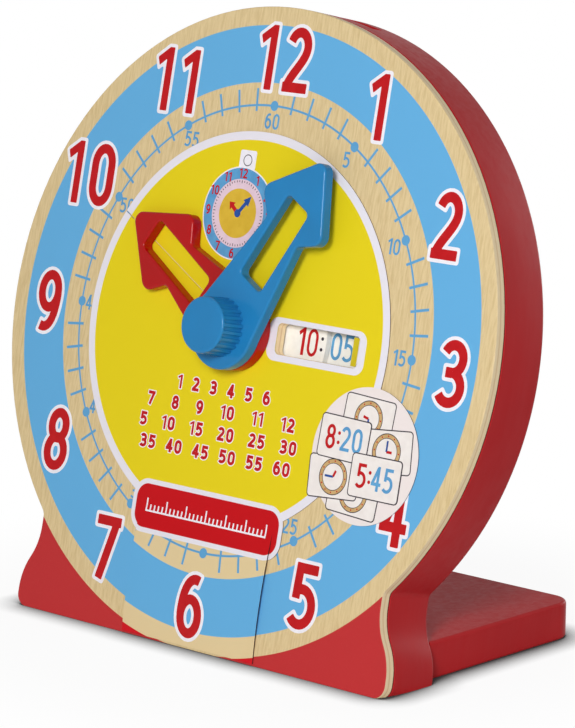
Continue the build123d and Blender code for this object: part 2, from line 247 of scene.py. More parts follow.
def makeFloor(settings):
    bpy.ops.mesh.primitive_plane_add(size=settings["size"])
    floor = bpy.context.object
    floor.name = "floor"
    material, tree, surface = newMaterial("paleFloor", settings["roughness"], settings["specular"])
    surface.inputs["Base Color"].default_value = settings["tone"]
    place = addNode(tree, "TexCoord").outputs["Object"]
    reach = addNode(tree, "VectorMath", {0: place}, operation="LENGTH").outputs["Value"]
    fade = ramp(tree, reach, settings["whiteFrom"], settings["whiteTo"], settings["whiteShare"])
    share = calc(tree, "MULTIPLY", fade, seenRays(tree))
    corner = addNode(tree, "AmbientOcclusion", {"Distance": settings["shadowReach"]})
    shade = addNode(tree, "MapRange", {
        "Value": corner.outputs["AO"], "From Min": settings["shadowFrom"],
        "To Min": settings["shadowDark"]})
    glow = addNode(tree, "Emission", {"Strength": shade.outputs[0]})
    mixShaders(tree, share, surface, glow, "Material Output")
    floor.data.materials.append(material)


makeLight(lightSet)
makeFloor(floorSet)
bpy.context.scene.view_settings.view_transform = "Standard"
print("light and floor placed")


# Where a point lies on the dial, in millimetres and in minutes round it
def makeDialGroup():
    group, _, out = newGroup("dialCoordinates", [], [
        ("place", "Vector"), ("across", "Float"), ("up", "Float"), ("out", "Float"),
        ("radius", "Float"), ("minutes", "Float")])
    where = addNode(group, "TexCoord")
    turned = addNode(group, "Mapping", {
        "Vector": where.outputs["Object"], "Location": dialCentre, "Rotation": dialTurn,
        "Scale": (mm, mm, mm)}, vector_type="TEXTURE").outputs[0]
    x, y, z = addNode(group, "SeparateXYZ", {"Vector": turned}).outputs
    flat = addNode(group, "CombineXYZ", {"X": x, "Y": y})
    reach = addNode(group, "VectorMath", {0: flat.outputs[0]}, operation="LENGTH")
    minutes = calc(group, "MULTIPLY_ADD", calc(group, "ARCTAN2", x, y), 30 / pi, 60)
    return putOut(group, out, {"place": turned, "across": x, "up": y, "out": z,
                               "radius": reach.outputs["Value"], "minutes": minutes})


# Distance to a box with round corners, below zero inside it
def makeBoxGroup():
    names = ("across", "up", "centreAcross", "centreUp", "halfWidth", "halfHeight", "corner")
    group, given, out = newGroup("roundBoxDistance", [(name, "Float") for name in names],
                                 [("distance", "Float")])
    sides = []
    for place, centre, half in (("across", "centreAcross", "halfWidth"),
                                ("up", "centreUp", "halfHeight")):
        away = calc(group, "ABSOLUTE", calc(group, "SUBTRACT", given[place], given[centre]))
        inner = calc(group, "SUBTRACT", given[half], given["corner"])
        sides.append(calc(group, "SUBTRACT", away, inner))
    square = [calc(group, "POWER", calc(group, "MAXIMUM", side, 0), 2) for side in sides]
    far = calc(group, "SQRT", calc(group, "ADD", *square))
    near = calc(group, "MINIMUM", calc(group, "MAXIMUM", *sides), 0)
    distance = calc(group, "SUBTRACT", calc(group, "ADD", far, near), given["corner"])
    return putOut(group, out, {"distance": distance})


# Long wood grain and short pores along the y direction of the given place
grainSet = {"stretch": 0.1, "detail": 5.0, "roughness": 0.62, "distortion": 0.6,
            "poreScale": 7.0, "poresFrom": 0.56, "poresTo": 0.74, "cloudScale": 0.03}


def makeGrainGroup(s):
    group, given, out = newGroup("woodGrain", [
        ("place", "Vector"), ("lineScale", "Float", 0.35), ("seed", "Float", 0.0)], [
        ("lines", "Float"), ("pores", "Float"), ("clouds", "Float")])

    def noise(place, scale, **inputs):
        node = addNode(group, "TexNoise", {"Vector": place, "W": given["seed"], "Scale": scale,
                                           "Detail": 2.0, **inputs}, noise_dimensions="4D")
        return node.outputs["Fac"]

    drawn = addNode(group, "VectorMath", {0: given["place"], 1: (1.0, s["stretch"], 1.0)},
                    operation="MULTIPLY").outputs[0]
    lines = noise(drawn, given["lineScale"], Detail=s["detail"], Roughness=s["roughness"],
                  Distortion=s["distortion"])
    pores = noise(drawn, calc(group, "MULTIPLY", given["lineScale"], s["poreScale"]))
    return putOut(group, out, {
        "lines": lines, "pores": ramp(group, pores, s["poresFrom"], s["poresTo"]),
        "clouds": noise(given["place"], s["cloudScale"])})


dialGroup = makeDialGroup()
boxGroup = makeBoxGroup()
grainGroup = makeGrainGroup(grainSet)

# Bare wood
woodSet = {
    "birch": {"light": tone(225, 202, 155), "dark": tone(208, 182, 133)},
    "beech": {"light": tone(222, 184, 135), "dark": tone(196, 152, 104)},
    "lineScale": 0.95, "darkFrom": 0.35, "darkTo": 0.72, "poreShare": 0.7,
}


def bareWoodTone(tree, dial, kind):
    s = woodSet
    light, dark = s[kind]["light"], s[kind]["dark"]
    grain = useGroup(tree, grainGroup, {"place": dial["place"], "lineScale": s["lineScale"]})
    share = ramp(tree, grain["lines"], s["darkFrom"], s["darkTo"])
    colour = blendTone(tree, share, light, dark)
    pores = calc(tree, "MULTIPLY", grain["pores"], s["poreShare"])
    return blendTone(tree, pores, colour, dark), grain


# Printed face: natural ply with the blue hour ring, the minute track and the red foot
faceSet = {
    "ringInner": 113.1, "ringOuter": 139.4, "ringTone": tone(101, 174, 222),
    "trackRadius": 102.7, "trackWidth": 1.0, "trackTone": tone(96, 162, 208),
    "tickInner": 100.0, "tickOuter": 110.5, "tickWidth": 1.25, "dotRadius": 2.35,
    "footFrom": 149.0, "footSoft": 0.15, "footTone": tone(190, 50, 52), "soft": 0.12,
    "printOut": (-0.4, -0.2), "poresThrough": 0.05, "relief": 0.000015,
    "plies": (-2.9, -2.1), "plySoft": 0.15, "coreTone": tone(226, 197, 154),
    "edgeTone": tone(248, 227, 188), "edgeGrain": 0.4,
}


def trackMask(tree, dial, radiusOut):
    s, soft = faceSet, faceSet["soft"]
    line = within(tree, radiusOut, s["trackRadius"] - s["trackWidth"] / 2,
                  s["trackRadius"] + s["trackWidth"] / 2)
    arc = calc(tree, "MULTIPLY", radiusOut, pi / 30)       # millimetres round the dial in a minute
    fromMinute = calc(tree, "MULTIPLY", calc(tree, "PINGPONG", dial["minutes"], 0.5), arc)
    five = calc(tree, "PINGPONG", dial["minutes"], 2.5)
    half = s["tickWidth"] / 2
    tick = calc(tree, "MULTIPLY", ramp(tree, fromMinute, half + soft, half - soft),
                within(tree, radiusOut, s["tickInner"], s["tickOuter"]))
    tick = calc(tree, "MULTIPLY", tick, calc(tree, "GREATER_THAN", five, 0.5))
    fromDot = distanceOf(tree, calc(tree, "MULTIPLY", five, arc),
                         calc(tree, "SUBTRACT", radiusOut, s["trackRadius"]))
    dot = ramp(tree, fromDot, s["dotRadius"] + soft, s["dotRadius"] - soft)
    return calc(tree, "MAXIMUM", calc(tree, "MAXIMUM", line, tick), dot)


def distanceOf(tree, across, up):
    squares = [calc(tree, "POWER", side, 2) for side in (across, up)]
    return calc(tree, "SQRT", calc(tree, "ADD", *squares))


def dialPrint(tree, dial, radiusOut, wood):
    s = faceSet
    ring = within(tree, radiusOut, s["ringInner"], s["ringOuter"])
    colour = blendTone(tree, trackMask(tree, dial, radiusOut), wood, s["trackTone"])
    colour = blendTone(tree, ring, colour, s["ringTone"])
    foot = ramp(tree, radiusOut, s["footFrom"] - s["footSoft"], s["footFrom"] + s["footSoft"])
    return blendTone(tree, foot, colour, s["footTone"])


def makeFaceMaterial(s):
    made = newMaterial("printedFace", roughness=0.45, specular=0.12)
    tree = made[1]
    dial = useGroup(tree, dialGroup)
    wood, grain = bareWoodTone(tree, dial, "birch")
    printed = dialPrint(tree, dial, dial["radius"], wood)
    worn = calc(tree, "MULTIPLY", grain["pores"], s["poresThrough"])
    printed = blendTone(tree, worn, printed, wood)
    veneer = blendTone(tree, calc(tree, "MULTIPLY", grain["lines"], s["edgeGrain"]),
                       s["edgeTone"], wood)
    core = within(tree, dial["out"], *s["plies"], s["plySoft"])
    edge = blendTone(tree, core, veneer, s["coreTone"])
    front = ramp(tree, dial["out"], *s["printOut"])
    return finish(made, blendTone(tree, front, edge, printed), grain["lines"], s["relief"])


# Red lacquer over wood, with painted shade: a dark line on the case's front edge, in the gap behind
# the face panel
lacquerSet = {"tone": tone(182, 32, 36), "deep": tone(177, 30, 34), "lineScale": 0.28, "seed": 3.0,
              "roughness": (0.42, 0.55), "smoothLines": (0.3, 0.75), "relief": 0.00006,
              "gapShade": (-6.0, -4.9), "gapShadeSoft": 0.1, "gapShadeTone": tone(70, 22, 24),
              "gapShadeShare": 0.85}


def makeLacquerMaterial(s):
    made = newMaterial("redLacquer", roughness=0.5, specular=0.11)
    tree = made[1]
    dial = useGroup(tree, dialGroup)
    grain = useGroup(tree, grainGroup, {"place": dial["place"], "lineScale": s["lineScale"],
                                        "seed": s["seed"]})
    colour = blendTone(tree, ramp(tree, grain["clouds"], *noiseSpan), s["tone"], s["deep"])
    # Painted shade: the lacquer just behind the face panel is darkened, standing in for the shadow
    # in the gap between panel and case
    gapShade = within(tree, dial["out"], *s["gapShade"], s["gapShadeSoft"])
    gapShade = calc(tree, "MULTIPLY", gapShade, s["gapShadeShare"])
    colour = blendTone(tree, gapShade, colour, s["gapShadeTone"])
    return finish(made, colour, grain["lines"], s["relief"],
                  ramp(tree, grain["lines"], *s["smoothLines"], *s["roughness"]))


def mottle(tree, scale, detail=2.0):
    where = addNode(tree, "TexCoord").outputs["Object"]
    noise = addNode(tree, "TexNoise", {"Vector": where, "Scale": scale, "Detail": detail})
    return noise.outputs["Fac"]


# Moulded plastic: tone and roughness
plasticSet = {
    "bluePlastic": (tone(34, 125, 182), 0.2),
    "redPlastic": (tone(176, 3, 6), 0.18),
    "whiteNylon": (tone(232, 230, 222), 0.42),
}


def makePlasticMaterial(name, colour, roughness):
    made = newMaterial(name, roughness, specular=0.2, coat=0.06)
    tree = made[1]
    cloud = mottle(tree, scale=40.0)
    clouded = addNode(tree, "HueSaturation",
                      {"Color": colour, "Value": ramp(tree, cloud, *noiseSpan, 0.96, 1.04)})
    return finish(made, clouded.outputs[0], mottle(tree, scale=900.0), 0.00001,
                  ramp(tree, cloud, *noiseSpan, roughness - 0.04, roughness + 0.05))


# Two tones, the scale of their mottling and the roughness, then metal and the depth of the bump
plainSet = {
    "ringPaper": ((248, 246, 240), (242, 239, 232), 300, 0.6),
    "edgePaper": ((250, 248, 243), (244, 241, 234), 300, 0.6),
    "zincSteel": ((190, 190, 192), (160, 161, 165), 500, 0.32, 1.0),
    "greyFelt": ((96, 96, 98), (66, 66, 69), 900, 0.95, 0.0, 0.0002),
    "inkRed": ((193, 28, 33), (186, 24, 29), 220, 0.4),
    "inkWhite": ((245, 241, 247), (238, 234, 241), 220, 0.4),
    "inkBlue": ((98, 164, 210), (88, 152, 200), 220, 0.45),
    "inkNavy": ((44, 84, 158), (38, 76, 148), 220, 0.45),
    "inkDark": ((60, 50, 60), (44, 38, 48), 220, 0.45),
    "inkAmber": ((222, 184, 62), (214, 174, 54), 220, 0.4),
    "inkCream": ((242, 235, 230), (236, 228, 223), 220, 0.4),
    "inkPink": ((232, 206, 218), (226, 198, 211), 220, 0.4),
    "inkWood": ((206, 172, 118), (196, 160, 108), 220, 0.45),
}


def makePlainMaterial(name, light, dark, scale, roughness, metal=0.0, bump=0.00002):
    made = newMaterial(name, roughness, specular=0.5 if metal else 0.12)
    tree = made[1]
    made[2].inputs["Metallic"].default_value = metal
    noise = mottle(tree, scale, detail=4.0)
    mixed = blendTone(tree, ramp(tree, noise, *noiseSpan), tone(*light), tone(*dark))
    return finish(made, mixed, noise, bump)


def makeWoodMaterial(name, kind):
    made = newMaterial(name, roughness=0.6, specular=0.12)
    wood, grain = bareWoodTone(made[1], useGroup(made[1], dialGroup), kind)
    return finish(made, wood, grain["lines"], depth=0.00004)


# Display card: yellow disc with a pale border, window frame, bump, plaque and printed band, with
# painted shade on its cut edges
cardSet = {
    "front": 0.5, "soft": 0.12, "fibreScale": 1.4, "roughness": (0.32, 0.42), "relief": 0.00001,
    "edgeShadeOut": (-0.1, 0.38), "edgeShadeSoft": 0.04, "edgeShadeFrom": 86, "edgeTone": tone(58, 42, 44),
    "centre": (-3.0, -1.8), "yellowRadius": 88.2, "yellow": tone(230, 208, 30),
    "borderWidth": 4.0, "border": tone(232, 228, 236), "flapOut": (-8.0, 0.2), "flapSoft": 0.05,
    "window": {"centre": (47.2, -1.3), "half": (29.2, 9.9), "corner": 5.2},
    "bump": {"centre": (85.0, -45.4), "radius": 30.6, "tone": tone(238, 227, 224)},
    "plaque": {"centre": (-2.8, -88.0), "half": (47.0, 12.5), "corner": 9.0, "margin": 2.3,
               "tone": tone(196, 18, 26)},
    "bandOffset": (-1.0, -0.8), "bandFoot": tone(206, 22, 34), "bandRight": 38.6,
    "sideShadeReach": 0.02,
}
bandSet = {"low": -147.3, "high": -88.0, "bow": 1.5, "front": 0.5, "centre": (-2.9, -128.5),
           "strips": 10, "halfNumeral": 17}


def fromPoint(tree, dial, centre):
    return distanceOf(tree, calc(tree, "SUBTRACT", dial["across"], centre[0]),
                      calc(tree, "SUBTRACT", dial["up"], centre[1]))


def boxDistance(tree, dial, box, margin=0.0):
    return useGroup(tree, boxGroup, {
        "across": dial["across"], "up": dial["up"], "centreAcross": box["centre"][0],
        "centreUp": box["centre"][1], "halfWidth": box["half"][0] - margin,
        "halfHeight": box["half"][1] - margin, "corner": box["corner"] - margin})["distance"]


def makeCardMaterial(s):
    made = newMaterial("printedCard", roughness=0.4, specular=0.1)
    tree = made[1]
    dial = useGroup(tree, dialGroup)
    bump, plaque, soft = s["bump"], s["plaque"], s["soft"]

    def lay(distance, edge, under, over):
        # Prints over wherever the distance is less than the edge
        return blendTone(tree, ramp(tree, distance, edge + soft, edge - soft), under, over)

    reach = fromPoint(tree, dial, s["bandOffset"])
    band = dialPrint(tree, dial, reach, woodSet["birch"]["light"])
    foot = ramp(tree, reach, faceSet["footFrom"] - soft, faceSet["footFrom"] + soft)
    radius = fromPoint(tree, dial, s["centre"])
    colour = lay(radius, s["yellowRadius"] + s["borderWidth"],
                 blendTone(tree, foot, band, s["bandFoot"]), s["border"])
    colour = lay(radius, s["yellowRadius"], colour, s["yellow"])
    colour = lay(boxDistance(tree, dial, s["window"]), 0, colour, s["border"])
    flap = within(tree, dial["out"], *s["flapOut"], s["flapSoft"])
    colour = blendTone(tree, flap, colour, s["yellow"])
    colour = lay(fromPoint(tree, dial, bump["centre"]), bump["radius"], colour, bump["tone"])
    colour = lay(boxDistance(tree, dial, plaque), 0, colour, s["border"])
    colour = lay(boxDistance(tree, dial, plaque, plaque["margin"]), 0, colour, plaque["tone"])
    # Painted shade: the card's cut edges round the disc and down the band's right edge are painted
    # dark, standing in for the shadow where the card stands off the face
    rimShade = calc(tree, "MULTIPLY", within(tree, dial["out"], *s["edgeShadeOut"], s["edgeShadeSoft"]),
               calc(tree, "GREATER_THAN", radius, s["edgeShadeFrom"]))
    side = calc(tree, "COMPARE", dial["across"], s["bandRight"], s["sideShadeReach"])
    side = calc(tree, "MULTIPLY", side, calc(tree, "LESS_THAN", dial["up"], bandSet["high"]))
    colour = blendTone(tree, calc(tree, "MAXIMUM", rimShade, side), colour, s["edgeTone"])
    fibre = addNode(tree, "TexNoise", {"Vector": dial["place"], "Scale": s["fibreScale"],
                                       "Detail": 4.0}).outputs["Fac"]
    return finish(made, colour, fibre, s["relief"],
                  ramp(tree, fibre, *noiseSpan, *s["roughness"]))


materials = {
    "face": makeFaceMaterial(faceSet),
    "lacquer": makeLacquerMaterial(lacquerSet),
    "card": makeCardMaterial(cardSet),
    "ply": makeWoodMaterial("birchPly", "birch"),
    "beech": makeWoodMaterial("beechDowel", "beech"),
}
for name, values in plasticSet.items():
    materials[name] = makePlasticMaterial(name, *values)
for name, values in plainSet.items():
    materials[name] = makePlainMaterial(name, *values)
nodeMaterials = {
    "face": ["face_panel"],
    "lacquer": ["case_body", "rear_cover", "base_board"],
    "card": ["display_card"],
    "bluePlastic": ["minute_hand", "knob"],
    "redPlastic": ["hour_hand"],
    "whiteNylon": ["face_bush", "rear_bearing", "minute_disc_hub", "hour_sleeve", "hand_washer",
                   "disc_spacer"],
    "ply": ["minute_disc"],
    "edgePaper": ["hour_disc"],
    "beech": ["base_dowels", "panel_dowels"],
    "ringPaper": ["hour_number_ring", "minute_number_ring"],
    "zincSteel": ["cover_screws", "base_screws", "bearing_screws", "hub_screws", "hub_set_screw",
                  "minute_shaft"],
    "greyFelt": ["hour_felt_washer", "rear_felt_washer"],
}


def paint(piece, ink):
    piece.data.materials.clear()
    piece.data.materials.append(materials[ink])


for ink, names in nodeMaterials.items():
    for name in names:
        paint(frame["nodes"][name], ink)
print("materials made")


# Digits are drawn with a pen of even width. Their paths lie in a box that is 1 wide and 1 high.
def bow(centreX, centreY, radiusX, radiusY, start, end, step=12):
    count = max(2, round(abs(end - start) / step))
    angles = [radians(start + (end - start) * part / count) for part in range(count + 1)]
    return [(centreX + radiusX * cos(a), centreY + radiusY * sin(a)) for a in angles]


def sweep(a, b, c, d, count=12):
    points = []
    for step in range(count + 1):
        t = step / count
        weights = ((1 - t) ** 3, 3 * t * (1 - t) ** 2, 3 * t * t * (1 - t), t ** 3)
        points.append(tuple(sum(w * p[k] for w, p in zip(weights, (a, b, c, d))) for k in (0, 1)))
    return points


digitWidths = {"1": 0.65, ":": 0.16}      # shares of a full digit's width
digitPaths = {
    "0": [("closed", bow(0.5, 0.7, 0.5, 0.3, 0, 180) + bow(0.5, 0.3, 0.5, 0.3, 180, 360))],
    "1": [("shape", [(0.576, 0), (1, 0), (1, 1), (0.71, 1), (0.01, 0.83), (0.15, 0.7),
                     (0.576, 0.81)])],
    "2": [("open", bow(0.47, 0.735, 0.48, 0.265, 160, 0)
           + sweep((0.95, 0.735), (0.95, 0.5), (0.32, 0.3), (0.06, 0.04))[1:]),
          ("full", [(0.02, 0), (0.97, 0)])],
    "3": [("open", bow(0.45, 0.76, 0.49, 0.24, 155, -82)),
          ("open", bow(0.42, 0.265, 0.58, 0.265, 82, -148)), ("open", [(0.13, 0.52), (0.5, 0.52)])],
    "4": [("open", [(0.66, 1.0), (0.0, 0.26)]), ("full", [(0, 0.25), (1, 0.25)]),
          ("full", [(0.72, 0), (0.72, 1)])],
    "5": [("full", [(0.14, 1), (0.9, 1)]), ("full", [(0.13, 1.0), (0.09, 0.54)]),
          ("open", bow(0.39, 0.315, 0.61, 0.315, 118, -140))],
    "6": [("closed", bow(0.5, 0.31, 0.5, 0.31, 0, 360)[:-1]),
          ("open", sweep((0.86, 0.97), (0.34, 1.07), (-0.012, 0.82), (-0.012, 0.31)))],
    "7": [("full", [(0, 1), (1, 1)]), ("foot", [(0.95, 0.99), (0.34, 0)])],
    "8": [("closed", bow(0.5, 0.76, 0.43, 0.24, 0, 360)[:-1]),
          ("closed", bow(0.5, 0.27, 0.5, 0.27, 0, 360)[:-1])],
    "9": [("closed", bow(0.5, 0.69, 0.5, 0.31, 0, 360)[:-1]),
          ("open", sweep((0.14, 0.03), (0.66, -0.07), (1.012, 0.18), (1.012, 0.69)))],
}
colonSet = {"levels": (0.28, 0.72), "size": 1.1}


def penLoops(kind, points, half, margin):
    # Both sides of the pen's path, with mitred corners; margin widens it all round
    closed = kind in ("closed", "shape")
    count = len(points)
    leadIn = margin + (half if kind == "full" else 0)
    leadOut = margin + (half if kind in ("full", "foot") else 0)
    left, right = [], []
    for index, (x, y) in enumerate(points):
        before = points[index - 1] if index or closed else None
        after = points[(index + 1) % count] if index < count - 1 or closed else None
        steps = []
        for start, end in ((before, (x, y)), ((x, y), after)):
            if start is not None and end is not None:
                length = hypot(end[0] - start[0], end[1] - start[1])
                steps.append(((end[0] - start[0]) / length, (end[1] - start[1]) / length))
        if before is None:
            x, y = x - steps[0][0] * leadIn, y - steps[0][1] * leadIn
        if after is None:
            x, y = x + steps[0][0] * leadOut, y + steps[0][1] * leadOut
        first, last = steps[0], steps[-1]
        scale = (half + margin) / (1 + first[0] * last[0] + first[1] * last[1])
        sideX, sideY = -(first[1] + last[1]) * scale, (first[0] + last[0]) * scale
        left.append((x + sideX, y + sideY))
        right.append((x - sideX, y - sideY))
    if kind == "shape":
        return [right]
    return [left, right[::-1]] if closed else [left + right[::-1]]


def roundLoop(loop, radius):
    # Sharp corners become short curves
    straight, longest = 0.8, 1 / 2.1
    rounded = []
    for index, corner in enumerate(loop):
        before, after = loop[index - 1], loop[(index + 1) % len(loop)]
        into = (corner[0] - before[0], corner[1] - before[1])
        away = (after[0] - corner[0], after[1] - corner[1])
        lengths = hypot(*into), hypot(*away)
        turn = (into[0] * away[0] + into[1] * away[1]) / (lengths[0] * lengths[1])
        if turn > straight:
            rounded.append(corner)
            continue
        reach = min(radius, lengths[0] * longest, lengths[1] * longest)
        start = [corner[k] - into[k] / lengths[0] * reach for k in (0, 1)]
        end = [corner[k] + away[k] / lengths[1] * reach for k in (0, 1)]
        for t in (0, 0.25, 0.5, 0.75, 1):
            weights = (1 - t) ** 2, 2 * t * (1 - t), t * t
            rounded.append(tuple(weights[0] * start[k] + weights[1] * corner[k]
                                 + weights[2] * end[k] for k in (0, 1)))
    return rounded


def editMesh(shape, *steps, whole=True):
    # Runs steps of edit mode, each on the whole mesh or on what is selected
    pick(shape)
    bpy.ops.object.mode_set(mode="EDIT")
    for step, settings in steps:
        if whole:
            bpy.ops.mesh.select_all(action="SELECT")
        step(**settings)
    bpy.ops.object.mode_set(mode="OBJECT")


def combine(shape, tool, operation, solver):
    pick(shape)
    change = shape.modifiers.new("change", "BOOLEAN")
    change.operation, change.solver, change.object = operation, solver, tool
    bpy.ops.object.modifier_apply(modifier=change.name)
    bpy.data.objects.remove(tool)


def flatShape(loops, low, high, ink):
    # A thin plate of ink or paper, drawn on the dial and laid at its height above the face
    curve = bpy.data.curves.new("plate", "CURVE")
    curve.dimensions = "2D"
    curve.fill_mode = "BOTH"
    curve.extrude = (high - low) / 2
    for loop in loops:
        spline = curve.splines.new("POLY")
        spline.points.add(len(loop) - 1)
        for point, (x, y) in zip(spline.points, loop):
            point.co = (x, y, 0, 1)
        spline.use_cyclic_u = True
    shape = bpy.data.objects.new("plate", curve)
    bpy.context.scene.collection.objects.link(shape)
    pick(shape)
    bpy.ops.object.convert(target="MESH")
    shape.location.z = (low + high) / 2
    bpy.ops.object.transform_apply(location=True)
    editMesh(shape, (bpy.ops.mesh.remove_doubles, {"threshold": 0.0005}),
             (bpy.ops.mesh.normals_make_consistent, {"inside": False}))
    paint(shape, ink)
    return shape


def cutOut(shape, loop, low, high, ink):
    combine(shape, flatShape([loop], low, high, ink), "DIFFERENCE", "EXACT")


def unite(shapes, level):
    # Each next plate is a hair thicker, so that no two of their sides share a plane
    first, hair = shapes[0], 0.003
    for step, other in enumerate(shapes[1:], 1):
        for vertex in other.data.vertices:
            vertex.co.z += hair * step * (1 if vertex.co.z > level else -1)
        combine(first, other, "UNION", "FAST")
    return first


glyphs = {}


def glyph(digit, style, layer):
    # One digit in one style; each is modelled once and copied
    key = (digit, style["name"], layer)
    if key in glyphs:
        return glyphs[key]
    pen = style["pen"]
    high = style["high"] - pen
    wide = style["wide"] * digitWidths.get(digit, 1) - pen
    low, top, margin, ink = style[layer]
    shapes = []
    if digit == ":":
        reach = pen / 2 + margin
        for level in colonSet["levels"]:
            dot = [(pen / 2 + x * reach, pen / 2 + level * high + y * reach)
                   for x, y in bow(0, 0, colonSet["size"], colonSet["size"], 0, 360)[:-1]]
            shapes.append(flatShape([dot], low, top, style.get("colon", ink)))
        pick(*shapes)
        bpy.ops.object.join()
        made = shapes[0]
    else:
        for kind, path in digitPaths[digit]:
            if kind == "shape":
                half = 0
                points = [(x * (wide + pen), y * (high + pen)) for x, y in path]
            else:
                half = pen / 2
                points = [(half + x * wide, half + y * high) for x, y in path]
            loops = penLoops(kind, points, half, margin)
            soft = margin or style.get("soft", 0)
            if soft and kind != "closed":
                loops = [roundLoop(loop, soft) for loop in loops]
            shapes.append(flatShape(loops, low, top, ink))
        made = unite(shapes, (low + top) / 2)
    glyphs[key] = made.data
    bpy.data.objects.remove(made)
    return glyphs[key]


def wordWidth(word, style):
    widths = [style["wide"] * digitWidths.get(digit, 1) for digit in word]
    return sum(widths) + style["gap"] * (len(word) - 1)


def placeCopy(mesh, spot):
    copy = bpy.data.objects.new("copy", mesh.copy())
    bpy.context.scene.collection.objects.link(copy)
    copy.data.transform(spot)
    return copy


def writeWord(word, style, centre, turn=0.0):
    # Copies of the digits side by side, centred on a point of the dial
    placed = []
    along = -wordWidth(word, style) / 2
    spot = Matrix.Translation((centre[0], centre[1], 0)) @ Matrix.Rotation(-turn, 4, "Z")
    for digit in word:
        corner = Matrix.Translation((along, -style["high"] / 2, 0))
        for layer in ("back", "front"):
            if layer in style:
                placed.append(placeCopy(glyph(digit, style, layer), spot @ corner))
        along += style["wide"] * digitWidths.get(digit, 1) + style["gap"]
    return placed


def settle(name, shapes, body="case"):
    # Joins what was drawn, lays it on the leaning face and gives it to its body
    shapes = list(shapes)
    pick(*shapes)
    if len(shapes) > 1:
        bpy.ops.object.join()
    piece = bpy.context.object
    piece.name = name
    piece.matrix_world = dialPlace
    bpy.ops.object.transform_apply(location=True, rotation=True, scale=True)
    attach(piece, body)
    return piece


# Outlines of plain figures
def clockwise(turn):
    # The direction that points turn degrees clockwise from upright
    return Vector((sin(radians(turn)), cos(radians(turn))))


def discLoop(centre, radius, sides=64):
    angles = [2 * pi * k / sides for k in range(sides)]
    return [(centre[0] + radius * cos(a), centre[1] + radius * sin(a)) for a in angles]


def boxLoop(centre, half, corner, turn=0.0):
    spin = Matrix.Rotation(-turn, 2)
    loop = []
    for quarter, (sideX, sideY) in enumerate(((1, 1), (-1, 1), (-1, -1), (1, -1))):
        for x, y in bow(sideX * (half[0] - corner), sideY * (half[1] - corner), corner, corner,
                        quarter * 90, quarter * 90 + 90):
            loop.append(tuple(Vector(centre) + spin @ Vector((x, y))))
    return loop


def barLoop(start, end, width):
    return penLoops("open", [start, end], width / 2, 0)[0]


# Case of red lacquered wood: a thick ring with a foot, hollow for the discs
caseSet = {
    "radius": 148.0, "neck": 106.8, "neckEnd": -108.66, "neckRound": 5.0, "flareEnd": -140.3,
    "footHalf": 116.0, "footRound": 6.0, "bottom": -148.3,
    "front": -5.0, "back": -34.0, "frontBevel": (1.3, 1), "backRound": (2.2, 5),
    "pocket": 90.0, "coverPocket": 100.0, "coverFront": -30.0, "sides": 180, "overrun": 5.0,
    "slot": {"half": (37.0, 25.0), "middle": (0, 149.0), "corner": 0.3, "near": -16.0,
             "far": -23.5},
}


def caseOutline(s):
    # The right half from the top round to the foot, then its mirror image
    far = s["radius"] + s["neckRound"]
    neckX = s["neck"] + s["neckRound"]
    neckY = -(far ** 2 - neckX ** 2) ** 0.5
    meet = degrees(atan2(neckY, neckX))
    across, down = (s["footHalf"] - s["neck"]) / 2, (s["neckEnd"] - s["flareEnd"]) / 2
    flare = (across ** 2 + down ** 2) / (2 * across)
    sweepAngle = degrees(atan2(down, flare - across))
    right = bow(0, 0, s["radius"], s["radius"], 90, meet, 1.2)
    right += bow(neckX, neckY, s["neckRound"], s["neckRound"], 180 + meet, 180, 8)
    right += bow(s["neck"] + flare, s["neckEnd"], flare, flare, 180, 180 + sweepAngle, 3)
    right += bow(s["footHalf"] - flare, s["flareEnd"], flare, flare, sweepAngle, 0, 3)[1:]
    right += bow(s["footHalf"] - s["footRound"], s["bottom"] + s["footRound"], s["footRound"],
                 s["footRound"], 0, -90, 10)
    return right + [(-x, y) for x, y in reversed(right[1:])]


def bevelRim(shape, level, offset, segments):
    # Only the outer edge at that level of a plate; the hollow's edge stays sharp
    editMesh(shape, (bpy.ops.mesh.select_mode, {"type": "EDGE"}),
             (bpy.ops.mesh.select_all, {"action": "DESELECT"}), whole=False)
    mesh = shape.data
    walls = {key for face in mesh.polygons if abs(face.normal.z) < 0.5 for key in face.edge_keys}
    for edge in mesh.edges:
        ends = [mesh.vertices[k].co for k in edge.vertices]
        edge.select = edge.key in walls and all(
            abs(end.z - level) < 0.01 and hypot(end.x, end.y) > caseSet["coverPocket"]
            for end in ends)
    bevel = {"offset": offset, "segments": segments, "affect": "EDGES", "clamp_overlap": False}
    editMesh(shape, (bpy.ops.mesh.bevel, bevel), whole=False)


def makeCase(s):
    shell = flatShape([caseOutline(s), discLoop((0, 0), s["pocket"], s["sides"])],
                      s["back"], s["front"], "lacquer")
    editMesh(shell, (bpy.ops.mesh.dissolve_limited, {"angle_limit": radians(0.2)}))
    bevelRim(shell, s["front"], *s["frontBevel"])
    bevelRim(shell, s["back"], *s["backRound"])
    cutOut(shell, discLoop((0, 0), s["coverPocket"], s["sides"]), s["back"] - s["overrun"],
           s["coverFront"], "lacquer")
    slot = s["slot"]
    cutOut(shell, boxLoop(slot["middle"], slot["half"], slot["corner"]), slot["far"],
           slot["near"], "lacquer")
    # The foot's underside is level though the case leans
    level = {"plane_co": (0, s["bottom"], 0),
             "plane_no": (0, outOfFace.dot(Vector((0, -1, 0))), outOfFace.z)}
    editMesh(shell, (bpy.ops.mesh.bisect, {**level, "clear_inner": True, "use_fill": True}))
    bpy.ops.object.shade_smooth_by_angle(angle=radians(25))
    settle("case_shell", [shell], "case")
    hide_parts("case_body")


makeCase(caseSet)
print("case made")

# Countersunk screws of the rear cover, with a cross recess
screwSet = {"head": 3.2, "headDepth": 1.7, "shank": 1.6, "length": 16.0, "sides": 40, "point": 0.1,
            "back": -34.0, "circle": 95.0, "count": 6, "spin": 0.7,
            "recess": 1.5, "recessWidth": 0.75, "recessCorner": 0.1, "recessDepth": 1.2,
            "overrun": 1.0}


